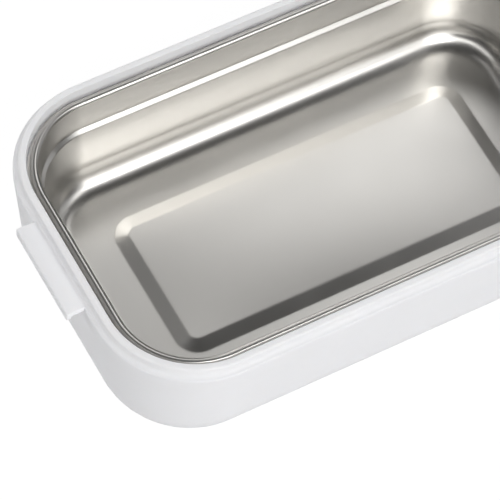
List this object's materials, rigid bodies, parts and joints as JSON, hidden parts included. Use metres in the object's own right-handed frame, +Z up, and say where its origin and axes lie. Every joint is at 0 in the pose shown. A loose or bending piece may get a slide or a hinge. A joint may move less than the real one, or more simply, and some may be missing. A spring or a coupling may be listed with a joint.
{
  "type": "electric lunch box",
  "caption": "White electric lunch box with rounded corners, a lift-out stainless steel tray over a heating plate, and a hinged latching lid standing open.",
  "frame": {"origin": "on the table plane under the feet, below the middle of the steel tray", "axes": "+X along the length towards the hinge, +Z up, and -Y towards the front of the box"},
  "size_m": [0.2942, 0.1312, 0.2924],
  "materials": {
    "shell_white": "satin white moulded polypropylene",
    "frame_white": "satin white moulded polypropylene",
    "tray_steel": "satin stainless steel, drawn and lightly blasted",
    "plate_aluminium": "cast aluminium, matte",
    "heater_ceramic": "fired ceramic heater blocks",
    "spring_steel": "plain spring steel",
    "screw_steel": "zinc plated steel",
    "pin_steel": "ground stainless steel",
    "black_plastic": "black moulded plastic",
    "pin_brass": "nickel plated brass",
    "rocker_red": "glossy red plastic",
    "lens_amber": "translucent amber plastic",
    "lamp_glass": "small clear lamp",
    "seal_silicone": "soft translucent silicone",
    "grey_silicone": "soft grey silicone",
    "foot_rubber": "dark rubber",
    "mica": "pressed mica board",
    "wire_brown": "brown insulated wire",
    "wire_red": "red insulated wire",
    "wire_blue": "blue insulated wire",
    "fuse_white": "small ceramic tube"
  },
  "bodies": {
    "base": {"outer_shell": "shell_white", "inner_frame": "frame_white", "base_cover": "shell_white", "feet": "foot_rubber", "base_screws": "screw_steel", "heating_plate": "plate_aluminium", "ptc_heaters": "heater_ceramic", "heater_clamps": "spring_steel", "clamp_screws": "screw_steel", "thermostat": "black_plastic", "thermal_fuse": "fuse_white", "insulation_sheet": "mica", "wire_live": "wire_brown", "wire_switched": "wire_red", "wire_neutral": "wire_blue", "inlet_socket": "black_plastic", "inlet_pins": "pin_brass", "flap_pin": "pin_steel", "switch_body": "black_plastic", "lamp_lens": "lens_amber", "indicator_lamp": "lamp_glass", "hinge_pin": "pin_steel"},
    "tray": {"food_tray": "tray_steel"},
    "lid": {"lid_shell": "shell_white", "lid_inner_plate": "frame_white", "lid_seal": "seal_silicone", "latch_pin": "pin_steel"},
    "vent": {"vent_plug": "grey_silicone"},
    "latch": {"latch": "shell_white"},
    "flap": {"inlet_flap": "grey_silicone"},
    "rocker": {"switch_rocker": "rocker_red"}
  },
  "joints": [
    {"name": "lid_hinge", "type": "hinge", "parent": "base", "child": "lid", "pos_m": [0.1126, 0, 0.06], "axis": [0, 1, 0], "range_deg": [-105, 0]},
    {"name": "latch_pivot", "type": "hinge", "parent": "lid", "child": "latch", "pos_m": [0.17653, 0, 0.27539], "axis": [0, 1, 0], "range_deg": [-35, 0]},
    {"name": "tray_lift", "type": "slide", "parent": "base", "child": "tray", "axis": [0, 0, 1], "range_m": [0, 0.055]},
    {"name": "vent_pull", "type": "slide", "parent": "lid", "child": "vent", "axis": [0.9659, 0, -0.2588], "range_m": [0, 0.012]},
    {"name": "flap_hinge", "type": "hinge", "parent": "base", "child": "flap", "pos_m": [0.1344, -0.015, 0.0396], "axis": [0, -1, 0], "range_deg": [0, 95]},
    {"name": "switch_rock", "type": "hinge", "parent": "base", "child": "rocker", "pos_m": [0.1297, 0.015, 0.029], "axis": [0, 1, 0], "range_deg": [-14, 0]}
  ]
}
